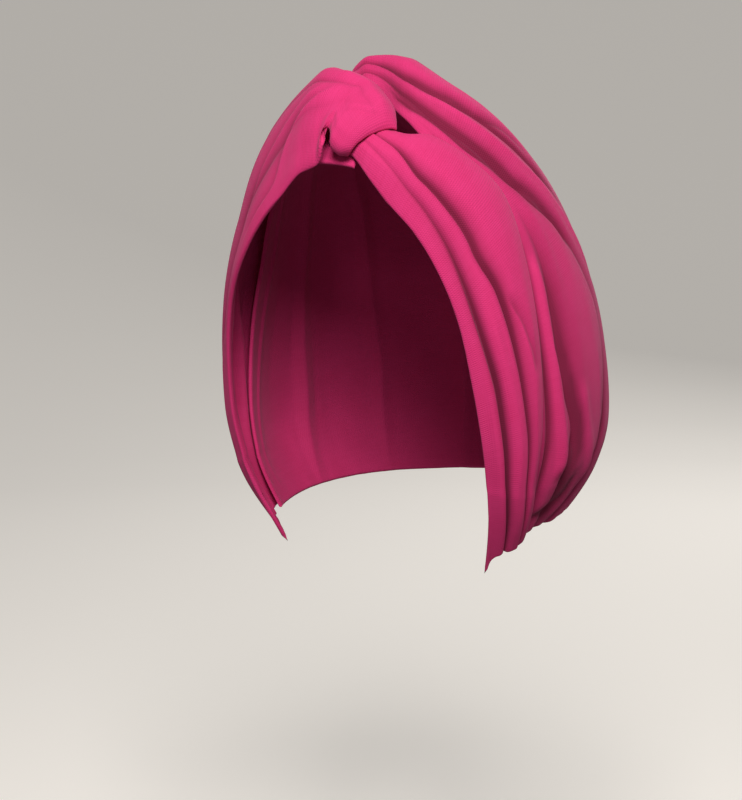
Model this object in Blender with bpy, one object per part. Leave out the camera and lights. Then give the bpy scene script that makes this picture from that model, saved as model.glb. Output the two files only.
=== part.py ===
"""Knotted turban headwrap of doubled jersey, in the shape it has when worn.

Two loops of cloth interlock in a knot over the forehead. The left loop leaves the
knot as a front and a rear band. The right loop goes over it as a round hood and
comes back under it. The bands run down the sides, meet at a seam along the crown
and the centre back, and end at the hem round the nape. Lengths are in metres, +Z is
up, the face opening looks along -Y and the wearer's left is +X. The origin is the
highest point of the hollow.
"""
import math
from collections import namedtuple

import bmesh
import bpy
import numpy as np

MM = 0.001

# Hollow inside the wrap: half sizes about its middle, which lies under the origin
HOLLOW_HALF_WIDTH = 71 * MM
HOLLOW_FRONT = 76 * MM
HOLLOW_BACK = 92 * MM
HOLLOW_CROWN = 128 * MM
HOLLOW_BASE = 82 * MM
NECK_RADIUS = 46 * MM
# Power that rounds the step from the egg to the neck, and how fast the neck sets in
NECK_ROUNDING = 8
NECK_ONSET = 3
# Run of the hollow's sloping middle line, back for each metre down
HOLLOW_LEAN = 0.11
# The knot sits this far in front of the middle line, as an angle at the middle
KNOT_LEAN = math.radians(8.0)

# Cloth
WALL = 2.0 * MM
SEAT_GAP = 0.5 * MM
LAYER_GAP = 1.0 * MM
SEAM_GAP = 0.6 * MM
# Height of a full pleat over the hollow, which the loft and crease tables share out
PLEAT_RISE = 10 * MM

# Rows along a band, and the places of its columns between two creases
ROWS = 30
COLUMN_PLACES = (0.0, 0.1, 0.3, 0.6, 0.86)
# Falls, in degrees from the knot, between which straight rows turn into arcs
STRAIGHT_FALL = 14
ARC_FALL = 30

# Share of the width over which the layers under a band's front give way to its rear's
LAYER_RAMP = 0.6
# Power with which the bend of the rows grows along a band
HEM_BEND = 4
# Keeps a division from meeting zero
TINY = 1e-12

MIDDLE = np.array([0.0, HOLLOW_LEAN * HOLLOW_CROWN, -HOLLOW_CROWN])

# Edge: both edges at a share of the band's length. A fall is the angle down from the
# knot and a turn the angle round it, from 0 at the back to +180 past the left, in degrees
Edge = namedtuple("Edge", "along front_fall front_turn rear_fall rear_turn")
# Loft: height of the unfolded band at five places from its front to its rear edge, as
# shares of PLEAT_RISE, and the layers of cloth that lie under its two edges
Loft = namedtuple("Loft", "along front front_mid middle rear_mid rear under_front under_rear")
# Crease: its place across the band and its depth in shares of PLEAT_RISE, at the
# stations of the band, and how far it reaches to its two sides, in shares of the width
Crease = namedtuple("Crease", "name places depths front_reach rear_reach")
# Band: spacing above 1 crowds the rows towards the knot, and a point below 1 draws the
# front corner of the hem down
Band = namedtuple("Band", "name edges lofts stations creases spacing point seam_from side")

LEFT_FRONT = Band(
    name="left_front_band",
    edges=(
        Edge(0.00, 18.5, 176, 9.5, 170),
        Edge(0.06, 21.0, 161, 14.2, 151),
        Edge(0.12, 26.0, 150, 17.8, 130),
        Edge(0.18, 30.5, 142, 19.6, 115),
        Edge(0.25, 36.0, 134, 24.0, 101),
        Edge(0.33, 44.0, 128, 33.0, 90),
        Edge(0.42, 55.0, 124, 46.0, 93.5),
        Edge(0.55, 72.0, 122, 66.0, 97.5),
        Edge(0.70, 93.0, 120, 87.0, 100.5),
        Edge(0.85, 115.0, 117.5, 108.0, 102.5),
        Edge(1.00, 136.0, 114.5, 125.0, 100),
    ),
    lofts=(
        Loft(0.00, 0.05, 0.15, 0.20, 0.15, 0.00, 1, 1),
        Loft(0.08, 0.05, 0.30, 0.40, 0.30, 0.05, 1, 1),
        Loft(0.18, 0.05, 0.50, 0.65, 0.60, 0.40, 0, 1),
        Loft(0.35, 0.05, 0.45, 0.60, 0.60, 0.35, 0, 1),
        Loft(0.60, 0.05, 0.40, 0.50, 0.60, 0.35, 0, 1),
        Loft(0.85, 0.05, 0.35, 0.45, 0.45, 0.20, 0, 1),
        Loft(1.00, 0.05, 0.20, 0.25, 0.20, 0.05, 0, 1),
    ),
    stations=(0.0, 0.12, 0.20, 0.34, 0.42, 0.60, 0.80, 1.0),
    creases=(
        Crease("first", (0.42, 0.30, 0.205, 0.15, 0.165, 0.275, 0.305, 0.33),
               (0.00, 0.05, 0.12, 0.22, 0.30, 0.40, 0.40, 0.15), 0.14, 0.13),
        Crease("second", (0.66, 0.55, 0.37, 0.33, 0.44, 0.585, 0.66, 0.66),
               (0.00, 0.16, 0.30, 0.38, 0.42, 0.34, 0.28, 0.05), 0.10, 0.18),
    ),
    spacing=1.25, point=0.3, seam_from=2.0, side=1)

LEFT_REAR = Band(
    name="left_rear_band",
    edges=(
        Edge(0.00, 13.6, -135, 12.4, -104),
        Edge(0.05, 6.0, -140, 9.8, -63),
        Edge(0.09, 5.5, 147, 10.3, -29),
        Edge(0.13, 12.2, 124, 12.0, -5),
        Edge(0.19, 19.7, 114, 18.0, 0),
        Edge(0.27, 30.0, 100, 28.0, 0),
        Edge(0.37, 42.0, 98, 40.0, 0),
        Edge(0.52, 63.0, 101, 60.0, 0),
        Edge(0.72, 92.0, 104.5, 88.0, 0),
        Edge(0.86, 111.0, 107, 106.0, 0),
        Edge(1.00, 127.0, 107, 122.0, 0),
    ),
    lofts=(
        Loft(0.00, 0.00, 0.05, 0.10, 0.05, 0.00, 1, 1),
        Loft(0.05, 0.00, 0.40, 0.70, 0.70, 0.30, 1, 1),
        Loft(0.065, 0.03, 0.70, 1.20, 1.15, 0.45, 0.5, 1),
        Loft(0.08, 0.10, 1.15, 1.48, 1.40, 0.55, 0, 1),
        Loft(0.13, 0.20, 1.10, 1.50, 1.45, 0.65, 0, 1),
        Loft(0.20, 0.10, 0.95, 1.35, 1.35, 0.55, 0, 0),
        Loft(0.28, 0.02, 0.90, 1.25, 1.25, 0.40, 0, 0),
        Loft(0.40, 0.02, 0.95, 1.22, 1.15, 0.35, 0, 0),
        Loft(0.52, 0.02, 0.92, 1.15, 1.05, 0.35, 0, 0),
        Loft(0.65, 0.02, 0.90, 0.98, 0.95, 0.35, 0, 0),
        Loft(0.78, 0.02, 0.85, 0.90, 0.85, 0.35, 0, 0),
        Loft(0.88, 0.02, 0.60, 0.65, 0.60, 0.30, 0, 0),
        Loft(1.00, 0.02, 0.20, 0.25, 0.25, 0.15, 0, 0),
    ),
    stations=(0.0, 0.13, 0.27, 0.40, 0.60, 0.75, 0.87, 1.0),
    creases=(
        Crease("under_front", (0.16, 0.05, 0.08, 0.08, 0.085, 0.09, 0.08, 0.08),
               (0.00, 0.00, 0.15, 0.25, 0.30, 0.30, 0.15, 0.00), 0.05, 0.05),
        Crease("flap", (0.32, 0.10, 0.13, 0.145, 0.15, 0.19, 0.175, 0.14),
               (0.00, 0.00, 0.00, 0.15, 0.35, 0.50, 0.35, 0.10), 0.07, 0.16),
        Crease("crescent", (0.48, 0.15, 0.20, 0.34, 0.46, 0.42, 0.34, 0.20),
               (0.00, 0.20, 0.38, 0.20, 0.10, 0.35, 0.30, 0.10), 0.10, 0.10),
        Crease("crown_first", (0.64, 0.27, 0.40, 0.51, 0.59, 0.66, 0.70, 0.72),
               (0.00, 0.28, 0.36, 0.30, 0.25, 0.25, 0.20, 0.05), 0.12, 0.10),
        Crease("crown_second", (0.82, 0.58, 0.64, 0.76, 0.81, 0.83, 0.85, 0.86),
               (0.00, 0.35, 0.40, 0.35, 0.30, 0.25, 0.20, 0.05), 0.14, 0.12),
    ),
    spacing=1.3, point=1.0, seam_from=0.16, side=1)

RIGHT_OVER = Band(
    name="right_over_band",
    edges=(
        Edge(0.00, 22.3, 160, 17.3, 134),
        Edge(0.03, 22.6, 164, 12.9, 130.5),
        Edge(0.07, 22.8, 169, 8.4, 138),
        Edge(0.12, 23.6, 178, 5.6, 174),
        Edge(0.16, 24.7, -174, 5.3, -127),
        Edge(0.20, 26.5, -167, 8.8, -86),
        Edge(0.24, 30.0, -159, 14.6, -74),
        Edge(0.33, 41.0, -143, 31.0, -85),
        Edge(0.44, 55.0, -130, 48.0, -90),
        Edge(0.58, 74.0, -123, 69.0, -94),
        Edge(0.72, 95.0, -120, 90.0, -98),
        Edge(0.86, 116.0, -117.5, 109.0, -101.5),
        Edge(1.00, 136.0, -114.5, 125.0, -100),
    ),
    lofts=(
        Loft(0.00, 0.15, 0.50, 0.66, 0.56, 0.46, 2, 1),
        Loft(0.03, 0.25, 0.75, 1.00, 1.00, 0.32, 2, 1),
        Loft(0.07, 0.60, 0.95, 1.22, 1.25, 0.50, 2, 1),
        Loft(0.12, 0.10, 0.95, 1.42, 1.52, 0.80, 1, 1),
        Loft(0.16, 0.05, 0.72, 1.12, 1.22, 0.75, 1, 2),
        Loft(0.24, 0.05, 0.40, 0.70, 0.72, 0.48, 0, 2),
        Loft(0.33, 0.05, 0.20, 0.55, 0.75, 0.50, 0, 1),
        Loft(0.44, 0.05, 0.25, 0.55, 0.60, 0.40, 0, 1),
        Loft(0.60, 0.05, 0.40, 0.50, 0.60, 0.35, 0, 1),
        Loft(0.85, 0.05, 0.35, 0.45, 0.45, 0.20, 0, 1),
        Loft(1.00, 0.05, 0.20, 0.25, 0.20, 0.05, 0, 1),
    ),
    stations=(0.0, 0.12, 0.25, 0.42, 0.60, 0.80, 1.0),
    creases=(
        Crease("first", (0.30, 0.36, 0.22, 0.20, 0.26, 0.38, 0.36),
               (0.00, 0.10, 0.20, 0.22, 0.28, 0.38, 0.15), 0.12, 0.18),
        Crease("second", (0.62, 0.62, 0.48, 0.53, 0.72, 0.82, 0.86),
               (0.05, 0.18, 0.25, 0.30, 0.45, 0.35, 0.05), 0.14, 0.14),
    ),
    spacing=1.4, point=0.3, seam_from=2.0, side=-1)

RIGHT_UNDER = Band(
    name="right_under_band",
    edges=(
        Edge(0.00, 22.5, 159, 14.8, 152),
        Edge(0.06, 21.5, 177, 10.0, 180),
        Edge(0.12, 20.9, -163, 4.0, -150),
        Edge(0.19, 22.0, -129, 7.0, 0),
        Edge(0.27, 30.0, -103, 20.0, 0),
        Edge(0.37, 42.0, -99, 38.0, 0),
        Edge(0.52, 63.0, -101, 60.0, 0),
        Edge(0.72, 92.0, -104.5, 88.0, 0),
        Edge(0.86, 111.0, -107, 106.0, 0),
        Edge(1.00, 127.0, -107, 122.0, 0),
    ),
    lofts=(
        Loft(0.00, 0.00, 0.00, 0.00, 0.00, 0.00, 0, 0),
        Loft(0.12, 0.00, 0.00, 0.00, 0.00, 0.00, 0, 0),
        Loft(0.22, 0.00, 0.00, 0.05, 0.05, 0.00, 0, 0),
        Loft(0.30, 0.02, 0.70, 1.00, 0.95, 0.35, 0, 0),
        Loft(0.40, 0.02, 0.90, 1.15, 1.05, 0.35, 0, 0),
        Loft(0.60, 0.02, 0.90, 1.00, 0.95, 0.35, 0, 0),
        Loft(0.78, 0.02, 0.85, 0.85, 0.85, 0.35, 0, 0),
        Loft(0.88, 0.02, 0.60, 0.60, 0.60, 0.30, 0, 0),
        Loft(1.00, 0.02, 0.20, 0.25, 0.25, 0.15, 0, 0),
    ),
    stations=(0.0, 0.13, 0.27, 0.40, 0.60, 0.75, 0.87, 1.0),
    creases=(
        Crease("under_front", (0.06, 0.06, 0.09, 0.11, 0.09, 0.07, 0.06, 0.08),
               (0.00, 0.00, 0.15, 0.35, 0.35, 0.30, 0.15, 0.00), 0.04, 0.10),
        Crease("first", (0.25, 0.25, 0.28, 0.30, 0.32, 0.33, 0.32, 0.30),
               (0.00, 0.00, 0.20, 0.30, 0.40, 0.40, 0.25, 0.05), 0.12, 0.12),
        Crease("second", (0.50, 0.50, 0.50, 0.54, 0.58, 0.60, 0.60, 0.60),
               (0.00, 0.00, 0.20, 0.35, 0.35, 0.35, 0.25, 0.05), 0.12, 0.12),
        Crease("third", (0.76, 0.76, 0.74, 0.78, 0.82, 0.84, 0.84, 0.84),
               (0.00, 0.00, 0.20, 0.30, 0.30, 0.30, 0.20, 0.05), 0.12, 0.10),
    ),
    spacing=1.2, point=1.0, seam_from=0.25, side=-1)

BANDS = (LEFT_FRONT, LEFT_REAR, RIGHT_OVER, RIGHT_UNDER)

# Finish of the jersey
PINK = (0.62, 0.03, 0.16, 1.0)
CLOTH_ROUGHNESS = 0.85


def clear_scene():
    """Remove every object of the open file."""
    for item in list(bpy.data.objects):
        bpy.data.objects.remove(item, do_unlink=True)


def smooth_step(value, start, end):
    """Rise from 0 to 1 between start and end, with level ends."""
    share = np.clip((value - start) / (end - start), 0, 1)
    return share * share * (3 - 2 * share)


def smooth_table(at, stations, values):
    """Read a table at any stations with a smooth curve that never overshoots its rows."""
    stations = np.asarray(stations, float)
    values = np.asarray(values, float)
    run = np.diff(stations)
    slope = np.diff(values) / run
    before, after = slope[:-1], slope[1:]
    same_way = before * after > 0
    total = np.where(same_way, before + after, 1)
    inner = np.where(same_way, 2 * before * after / total, 0)
    tangent = np.concatenate(([slope[0]], inner, [slope[-1]]))
    at = np.clip(at, stations[0], stations[-1])
    row = np.clip(np.searchsorted(stations, at, side="right") - 1, 0, len(run) - 1)
    t = (at - stations[row]) / run[row]
    return ((2 * t**3 - 3 * t**2 + 1) * values[row] + (3 * t**2 - 2 * t**3) * values[row + 1]
            + run[row] * ((t**3 - 2 * t**2 + t) * tangent[row] + (t**3 - t**2) * tangent[row + 1]))


def direction(fall, turn):
    """Unit vectors from the middle of the hollow, for falls and turns in degrees."""
    fall, turn = np.radians(fall), np.radians(turn)
    knot = np.array([0, -math.sin(KNOT_LEAN), math.cos(KNOT_LEAN)])
    back = np.array([0, math.cos(KNOT_LEAN), math.sin(KNOT_LEAN)])
    left = np.array([1.0, 0, 0])
    around = np.cos(turn)[..., None] * back + np.sin(turn)[..., None] * left
    return np.cos(fall)[..., None] * knot + np.sin(fall)[..., None] * around


def hollow_radius(ray):
    """Distance from the middle to the wall of the hollow, a leaning egg on a neck."""
    across, deep, up = ray[..., 0], ray[..., 1], ray[..., 2]
    leaning = deep + HOLLOW_LEAN * up
    depth = np.where(leaning > 0, HOLLOW_BACK, HOLLOW_FRONT)
    height = np.where(up > 0, HOLLOW_CROWN, HOLLOW_BASE)
    egg = 1 / np.sqrt((across / HOLLOW_HALF_WIDTH)**2 + (leaning / depth)**2 + (up / height)**2)
    # Ray against the neck, an upright cylinder round the origin's axis
    level = across**2 + deep**2 + TINY
    half = deep * MIDDLE[1]
    reach = (np.sqrt(half**2 - level * (MIDDLE[1]**2 - NECK_RADIUS**2)) - half) / level
    neck = np.minimum(reach, HOLLOW_CROWN) * np.clip(-NECK_ONSET * up, 0, 1)
    return (egg**NECK_ROUNDING + neck**NECK_ROUNDING)**(1 / NECK_ROUNDING)


def flat(fall, turn):
    """Place on a map centred on the knot, in degrees to the left and to the back."""
    turn = np.radians(turn)
    return np.stack([fall * np.sin(turn), fall * np.cos(turn)], -1)


def edge_places(band, along):
    """Falls and turns of both edges of a band at shares of its length."""
    stations = [row.along for row in band.edges]
    ends = []
    for side in ("front", "rear"):
        places = np.array([flat(getattr(row, side + "_fall"), getattr(row, side + "_turn"))
                           for row in band.edges])
        x = smooth_table(along, stations, places[:, 0])
        y = smooth_table(along, stations, places[:, 1])
        ends.append((np.hypot(x, y), np.degrees(np.arctan2(x, y)), x, y))
    return ends


def band_columns(band, along, places):
    """Shares of the width at each row, one column for each place between two creases."""
    guides = [np.zeros_like(along)]
    for crease in band.creases:
        guides.append(smooth_table(along, band.stations, crease.places))
    guides.append(np.ones_like(along))
    columns = []
    for first, second in zip(guides[:-1], guides[1:]):
        for place in places:
            columns.append(first + place * (second - first))
    columns.append(guides[-1])
    return np.stack(columns, -1)


def band_heights(band, along, across):
    """Height of the outside of a band over the hollow."""
    rows = [row.along for row in band.lofts]
    names = ("front", "front_mid", "middle", "rear_mid", "rear")
    spots = np.linspace(0, 1, len(names))
    lofts = [smooth_table(along, rows, [getattr(row, name) for row in band.lofts]) for name in names]
    height = np.empty_like(across)
    for row in range(len(along)):
        height[row] = smooth_table(across[row], spots, [loft[row] for loft in lofts])
    for crease in band.creases:
        place = smooth_table(along, band.stations, crease.places)[:, None]
        depth = smooth_table(along, band.stations, crease.depths)[:, None]
        reach = np.where(across < place, crease.front_reach, crease.rear_reach)
        near = np.clip(1 - np.abs(across - place) / reach, 0, 1)
        height -= depth * near**2
    height = np.maximum(height, 0)
    layers_front = smooth_table(along, rows, [row.under_front for row in band.lofts])[:, None]
    layers_rear = smooth_table(along, rows, [row.under_rear for row in band.lofts])[:, None]
    layers = layers_front + (layers_rear - layers_front) * smooth_step(across, 0, LAYER_RAMP)
    return SEAT_GAP + WALL + layers * (WALL + LAYER_GAP) + PLEAT_RISE * height


def band_outside(band, along, across):
    """Points on the outside of a band, a row for each share of its length."""
    (front_fall, front_turn, front_x, front_y), (rear_fall, rear_turn, rear_x, rear_y) = \
        edge_places(band, along)
    # A turn past the face side is counted on from the band's own side
    front_turn = np.where(front_turn * band.side < 0, front_turn + 360 * band.side, front_turn)
    rear_turn = rear_turn + 360 * np.round((front_turn - rear_turn) / 360)
    # Towards the hem the rows bend, so that the front corner hangs as a point
    share = across + (across**band.point - across) * along[:, None]**HEM_BEND
    arc_fall = front_fall[:, None] + (rear_fall - front_fall)[:, None] * share
    arc_turn = front_turn[:, None] + (rear_turn - front_turn)[:, None] * across
    straight_x = front_x[:, None] + (rear_x - front_x)[:, None] * across
    straight_y = front_y[:, None] + (rear_y - front_y)[:, None] * across
    arc = smooth_step((front_fall + rear_fall) / 2, STRAIGHT_FALL, ARC_FALL)[:, None]
    arc_place = flat(arc_fall, arc_turn)
    x = straight_x + (arc_place[..., 0] - straight_x) * arc
    y = straight_y + (arc_place[..., 1] - straight_y) * arc
    ray = direction(np.hypot(x, y), np.degrees(np.arctan2(x, y)))
    radius = hollow_radius(ray) + band_heights(band, along, across)
    return MIDDLE + radius[..., None] * ray


def inside(points, wall):
    """Points of the other face of the cloth, a wall's thickness in."""
    down = np.gradient(points, axis=0)
    over = np.gradient(points, axis=1)
    normal = np.cross(down, over)
    normal /= np.maximum(np.linalg.norm(normal, axis=-1), TINY)[..., None]
    outward = np.sum(normal * (points - MIDDLE), axis=-1)
    return points - wall * normal * np.sign(outward)[..., None]


def keep_beside_seam(points, band, along):
    """Hold a band on its own side of the centre seam, from where the seam starts."""
    limit = SEAM_GAP / 2
    sewn = along >= band.seam_from
    points[sewn, :, 0] = np.maximum(points[sewn, :, 0] * band.side, limit) * band.side


def cloth_solid(name, outer, inner):
    """Closed object from the two faces of a sheet, given as grids of points."""
    rows, columns = outer.shape[:2]
    mesh = bmesh.new()
    skins = []
    for points in (outer, inner):
        skins.append([[mesh.verts.new(point) for point in row] for row in points])
    for skin in skins:
        for i in range(rows - 1):
            for j in range(columns - 1):
                mesh.faces.new((skin[i][j], skin[i + 1][j], skin[i + 1][j + 1], skin[i][j + 1]))
    top, low = skins
    border = ([(i, 0) for i in range(rows)] + [(rows - 1, j) for j in range(1, columns)]
              + [(i, columns - 1) for i in range(rows - 2, -1, -1)]
              + [(0, j) for j in range(columns - 2, 0, -1)])
    for (i, j), (k, m) in zip(border, border[1:] + border[:1]):
        mesh.faces.new((top[i][j], top[k][m], low[k][m], low[i][j]))
    bmesh.ops.triangulate(mesh, faces=mesh.faces[:])
    bmesh.ops.recalc_face_normals(mesh, faces=mesh.faces[:])
    data = bpy.data.meshes.new(name)
    mesh.to_mesh(data)
    mesh.free()
    data.shade_smooth()
    piece = bpy.data.objects.new(name, data)
    bpy.context.scene.collection.objects.link(piece)
    return piece


def jersey(name):
    """Matte pink knit."""
    material = bpy.data.materials.new(name)
    material.use_nodes = True
    shader = material.node_tree.nodes["Principled BSDF"]
    shader.inputs["Base Color"].default_value = PINK
    shader.inputs["Roughness"].default_value = CLOTH_ROUGHNESS
    shader.inputs["Metallic"].default_value = 0.0
    return material


def make_band(band):
    """One band of the wrap as a solid."""
    along = np.linspace(0, 1, ROWS)**band.spacing
    across = band_columns(band, along, COLUMN_PLACES)
    outer = band_outside(band, along, across)
    inner = inside(outer, WALL)
    for points in (outer, inner):
        keep_beside_seam(points, band, along)
    piece = cloth_solid(band.name, outer, inner)
    piece.data.materials.append(jersey(band.name + "_jersey"))
    return piece


def main():
    """Build the four bands."""
    clear_scene()
    for band in BANDS:
        make_band(band)


main()
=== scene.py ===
"""Knotted turban headwrap of doubled pink jersey, dressed for rendering.

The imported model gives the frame. Each band of the wrap is made again here as a finer
sheet of cloth with its small folds, round edges, knit and seam, and stands for its
plain solid. Lengths are in metres, +Z is up, the face opening looks along -Y and the
wearer's left is +X.
"""
from __future__ import annotations

import logging
import math
from dataclasses import dataclass
from enum import Enum

import bpy
import numpy as np
from bpy.types import ID, Material, Node, NodeSocket, NodeTree, Object
from mathutils import Matrix, Vector


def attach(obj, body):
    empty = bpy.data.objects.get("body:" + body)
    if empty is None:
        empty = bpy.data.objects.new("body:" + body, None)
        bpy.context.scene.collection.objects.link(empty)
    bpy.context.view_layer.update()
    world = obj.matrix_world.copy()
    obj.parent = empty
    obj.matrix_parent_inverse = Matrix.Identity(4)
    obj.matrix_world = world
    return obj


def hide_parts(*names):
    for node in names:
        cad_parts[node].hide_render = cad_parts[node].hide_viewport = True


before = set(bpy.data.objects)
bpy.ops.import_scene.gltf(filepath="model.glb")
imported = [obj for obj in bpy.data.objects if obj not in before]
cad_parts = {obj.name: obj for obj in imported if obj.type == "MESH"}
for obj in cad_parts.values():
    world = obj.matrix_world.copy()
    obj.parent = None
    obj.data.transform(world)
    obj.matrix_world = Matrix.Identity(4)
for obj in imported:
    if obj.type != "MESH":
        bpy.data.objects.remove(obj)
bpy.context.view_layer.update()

MM = 0.001
TINY = 1e-12
LOG = logging.getLogger("headwrap")
Colour = tuple[float, float, float, float]
Numbers = tuple[float, ...]
Array = np.ndarray


class Side(Enum):
    """Side of the wearer that a band runs down."""

    LEFT = 1
    RIGHT = -1


@dataclass(frozen=True)
class Edge:
    """Both edges of a band at a share of its length, in degrees from and round the knot."""

    along: float
    front_fall: float
    front_turn: float
    rear_fall: float
    rear_turn: float


@dataclass(frozen=True)
class Loft:
    """Height of the unfolded band at five places across it, and the layers under its edges."""

    along: float
    front: float
    front_mid: float
    middle: float
    rear_mid: float
    rear: float
    under_front: float
    under_rear: float


@dataclass(frozen=True)
class Roll:
    """How far, in mm, the cloth curls in at its front and rear edge."""

    along: float
    front: float
    rear: float


PLAIN_ROLLS = (Roll(0.0, 0.8, 0.8), Roll(1.0, 0.8, 0.8))


@dataclass(frozen=True)
class Crease:
    """A groove along the whole band: places and depths at the band's stations."""

    name: str
    places: Numbers
    depths: Numbers
    front_reach: float
    rear_reach: float


@dataclass(frozen=True)
class Fold:
    """A short fold: the cloth rises by front and rear, in mm, at the two sides of a line.

    The line is given as falls and turns in degrees, and the rise dies out over the
    two reaches, in mm.
    """

    name: str
    line: tuple[tuple[float, float], ...]
    front: float
    rear: float
    front_reach: float
    rear_reach: float
    fade: float = 0.2


@dataclass(frozen=True)
class Hollow:
    """Space inside the wrap, a leaning egg on a neck, with its highest point at the origin."""

    half_width: float = 71 * MM
    front: float = 76 * MM
    back: float = 92 * MM
    crown: float = 128 * MM
    base: float = 82 * MM
    neck_radius: float = 46 * MM
    neck_rounding: float = 8
    neck_onset: float = 3
    lean: float = 0.11
    knot_lean: float = math.radians(8)

    @property
    def middle(self) -> Array:
        """Point from which falls and turns are measured."""
        return np.array([0.0, self.lean * self.crown, -self.crown])

    def direction(self, fall: Array, turn: Array) -> Array:
        """Unit vectors from the middle.

        Args:
            fall: angles down from the knot, in degrees.
            turn: angles round the knot from the back, in degrees.

        Returns:
            One unit vector for each pair of angles.
        """
        fall, turn = np.radians(fall), np.radians(turn)
        knot = np.array([0, -math.sin(self.knot_lean), math.cos(self.knot_lean)])
        back = np.array([0, math.cos(self.knot_lean), math.sin(self.knot_lean)])
        around = np.cos(turn)[..., None] * back + np.sin(turn)[..., None] * np.array([1.0, 0, 0])
        return np.cos(fall)[..., None] * knot + np.sin(fall)[..., None] * around

    def radius(self, ray: Array) -> Array:
        """Distance from the middle to the wall of the hollow along each unit vector."""
        across, deep, up = ray[..., 0], ray[..., 1], ray[..., 2]
        leaning = deep + self.lean * up
        depth = np.where(leaning > 0, self.back, self.front)
        height = np.where(up > 0, self.crown, self.base)
        egg = 1 / np.sqrt((across / self.half_width)**2 + (leaning / depth)**2 + (up / height)**2)
        level = across**2 + deep**2 + TINY
        offset = self.middle[1]
        half = deep * offset
        reach = (np.sqrt(half**2 - level * (offset**2 - self.neck_radius**2)) - half) / level
        neck = np.minimum(reach, self.crown) * np.clip(-self.neck_onset * up, 0, 1)
        power = self.neck_rounding
        return (egg**power + neck**power)**(1 / power)

    def surface(self, fall: Array, turn: Array) -> Array:
        """Points on the wall of the hollow."""
        ray = self.direction(fall, turn)
        return self.middle + self.radius(ray)[..., None] * ray


@dataclass(frozen=True)
class Cloth:
    """Sizes of the doubled jersey and of the layers it lies in."""

    wall: float = 2.0 * MM
    seat_gap: float = 0.5 * MM
    layer_gap: float = 1.0 * MM
    seam_gap: float = 0.6 * MM
    pleat_rise: float = 10 * MM
    straight_fall: float = 14
    arc_fall: float = 30
    layer_ramp: float = 0.6
    hem_bend: float = 4
    roll_reach: float = 3.5 * MM
    rest_gap: float = 0.2 * MM
    valley_share: float = 0.5
    valley_width: float = 0.35
    # Painted shade: full in folds this deep, and a fixed share on the inner skin
    full_shade: float = 2.0 * MM
    inner_shade: float = 0.35
    fold_edge: float = 1.1 * MM
    roll_onset: float = 0.4 * MM
    calm_reach: float = 0.06


@dataclass(frozen=True)
class Grid:
    """How finely the bands are divided."""

    end_shares: Numbers = (0.0004, 0.0012, 0.0024, 0.004)
    edge_shares: Numbers = (0.0, 0.0015, 0.005, 0.011)
    column_pull: float = 0.08
    fold_steps: int = 60
    wrinkle_grid: int = 64


@dataclass(frozen=True)
class Gather:
    """A layer of wrinkles: its share of the rise, how many lie across, and its changes along."""

    share: float
    density: float
    changes: float
    seed_step: int


HOLLOW = Hollow()
CLOTH = Cloth()
GRID = Grid()
GATHERS = (Gather(1.0, 1.0, 5, 0), Gather(0.45, 2.7, 9, 7))


def smooth_step(value: Array, start: float, end: float) -> Array:
    """Rise from 0 to 1 between start and end, with level ends."""
    share = np.clip((value - start) / (end - start), 0, 1)
    return share * share * (3 - 2 * share)


def smooth_table(at: Array, stations: list[float], values: list[float]) -> Array:
    """Read a table at any stations with a smooth curve that never overshoots its rows.

    Args:
        at: the stations to read.
        stations: the table's own stations, rising.
        values: the value at each of them.

    Returns:
        One value for each station read.
    """
    stations, values = np.asarray(stations, float), np.asarray(values, float)
    run = np.diff(stations)
    slope = np.diff(values) / run
    before, after = slope[:-1], slope[1:]
    same_way = before * after > 0
    total = np.where(same_way, before + after, 1)
    inner = np.where(same_way, 2 * before * after / total, 0)
    tangent = np.concatenate(([slope[0]], inner, [slope[-1]]))
    at = np.clip(at, stations[0], stations[-1])
    row = np.clip(np.searchsorted(stations, at, side="right") - 1, 0, len(run) - 1)
    t = (at - stations[row]) / run[row]
    return ((2 * t**3 - 3 * t**2 + 1) * values[row] + (3 * t**2 - 2 * t**3) * values[row + 1]
            + run[row] * ((t**3 - 2 * t**2 + t) * tangent[row] + (t**3 - t**2) * tangent[row + 1]))


def read_column(at: Array, table: tuple, name: str) -> Array:
    """Read one column of a table of rows at any shares of the length."""
    return smooth_table(at, [row.along for row in table], [getattr(row, name) for row in table])


def running_length(points: Array, axis: int) -> Array:
    """Length from the first point along one axis of a grid, up to each point."""
    steps = np.linalg.norm(np.diff(points, axis=axis), axis=-1)
    start = np.zeros_like(np.take(steps, [0], axis=axis))
    return np.concatenate([start, np.cumsum(steps, axis=axis)], axis=axis)


def unit(vectors: Array) -> Array:
    """The vectors at length 1."""
    return vectors / np.maximum(np.linalg.norm(vectors, axis=-1), TINY)[..., None]


def curl(run: Array, depth: Array | float) -> Array:
    """Drop of the cloth at a run from an edge that curls in by a depth in mm."""
    near = np.clip(1 - run / CLOTH.roll_reach, 0, 1)
    return depth * MM * (1 - np.sqrt(1 - near**2))


def flat(fall: Array, turn: Array) -> Array:
    """Place on a map centred on the knot, in degrees to the left and to the back."""
    turn = np.radians(turn)
    return np.stack([fall * np.sin(turn), fall * np.cos(turn)], -1)


def smooth_normals(points: Array, outward: Array, rounds: int = 6) -> Array:
    """Unit normals of a grid of points, evened out over their neighbours.

    Args:
        points: the grid.
        outward: a vector at each point that its normal leans to.
        rounds: how often neighbours are mixed.

    Returns:
        The normals.
    """
    normal = unit(np.cross(np.gradient(points, axis=0), np.gradient(points, axis=1)))
    normal *= np.where(np.sum(normal * outward, axis=-1) < 0, -1, 1)[..., None]
    for _ in range(rounds):
        wide = np.pad(normal, ((1, 1), (1, 1), (0, 0)), mode="edge")
        normal = unit(wide[:-2, 1:-1] + wide[2:, 1:-1] + wide[1:-1, :-2] + wide[1:-1, 2:]
                      + 2 * wide[1:-1, 1:-1])
    return normal


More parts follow.
